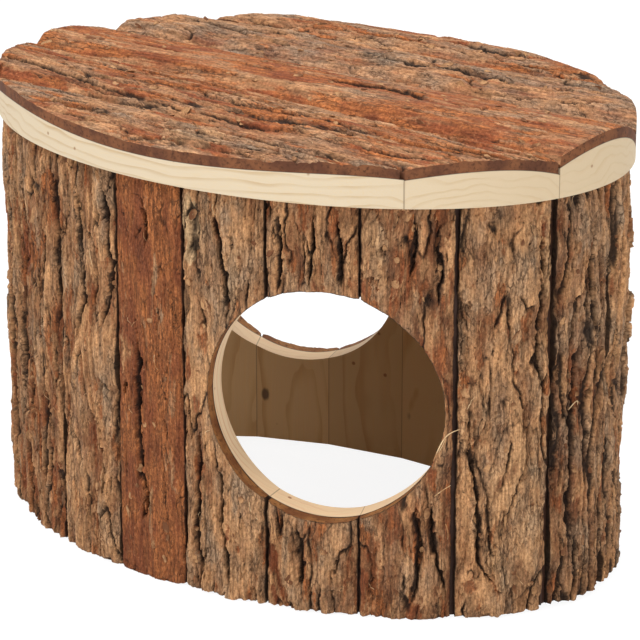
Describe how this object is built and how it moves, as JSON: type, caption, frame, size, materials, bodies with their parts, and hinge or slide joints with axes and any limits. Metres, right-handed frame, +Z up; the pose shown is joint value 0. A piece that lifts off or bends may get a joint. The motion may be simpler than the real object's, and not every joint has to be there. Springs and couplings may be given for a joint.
{
  "type": "wooden hamster house",
  "caption": "Oval house for a small pet, with upright bark-covered staves, a flat bark-covered slab roof, two round entrances facing each other, and an open base.",
  "frame": {"origin": "middle of the oval, at the height of the staves' feet", "axes": "+Z up; +X along the oval's length, towards the end beside the front entrance; the front faces -Y"},
  "size_m": [0.1918, 0.133, 0.132],
  "materials": {
    "sawn_softwood": "sawn and lightly sanded, unfinished pale softwood",
    "wall_bark": "natural rough bark, matt, in upright plates with dark cracks",
    "roof_bark": "natural bark, matt, reddish, ridged along the slab",
    "pin_steel": "plain drawn steel wire"
  },
  "bodies": {
    "root": {"roof_bark_1": "roof_bark", "roof_bark_2": "roof_bark", "roof_bark_3": "roof_bark", "roof_bark_4": "roof_bark", "roof_bark_5": "roof_bark", "roof_pins": "pin_steel", "roof_slab_1": "sawn_softwood", "roof_slab_2": "sawn_softwood", "roof_slab_3": "sawn_softwood", "roof_slab_4": "sawn_softwood", "roof_slab_5": "sawn_softwood", "wall_bark_01": "wall_bark", "wall_bark_02": "wall_bark", "wall_bark_03": "wall_bark", "wall_bark_04": "wall_bark", "wall_bark_05": "wall_bark", "wall_bark_06": "wall_bark", "wall_bark_07_lower": "wall_bark", "wall_bark_07_upper": "wall_bark", "wall_bark_08": "wall_bark", "wall_bark_09": "wall_bark", "wall_bark_10": "wall_bark", "wall_bark_11": "wall_bark", "wall_bark_12": "wall_bark", "wall_bark_13": "wall_bark", "wall_bark_14": "wall_bark", "wall_bark_15": "wall_bark", "wall_bark_16": "wall_bark", "wall_bark_17_lower": "wall_bark", "wall_bark_17_upper": "wall_bark", "wall_bark_18": "wall_bark", "wall_bark_19": "wall_bark", "wall_bark_20": "wall_bark", "wall_stave_01": "sawn_softwood", "wall_stave_02": "sawn_softwood", "wall_stave_03": "sawn_softwood", "wall_stave_04": "sawn_softwood", "wall_stave_05": "sawn_softwood", "wall_stave_06": "sawn_softwood", "wall_stave_07_lower": "sawn_softwood", "wall_stave_07_upper": "sawn_softwood", "wall_stave_08": "sawn_softwood", "wall_stave_09": "sawn_softwood", "wall_stave_10": "sawn_softwood", "wall_stave_11": "sawn_softwood", "wall_stave_12": "sawn_softwood", "wall_stave_13": "sawn_softwood", "wall_stave_14": "sawn_softwood", "wall_stave_15": "sawn_softwood", "wall_stave_16": "sawn_softwood", "wall_stave_17_lower": "sawn_softwood", "wall_stave_17_upper": "sawn_softwood", "wall_stave_18": "sawn_softwood", "wall_stave_19": "sawn_softwood", "wall_stave_20": "sawn_softwood"}
  },
  "joints": []
}
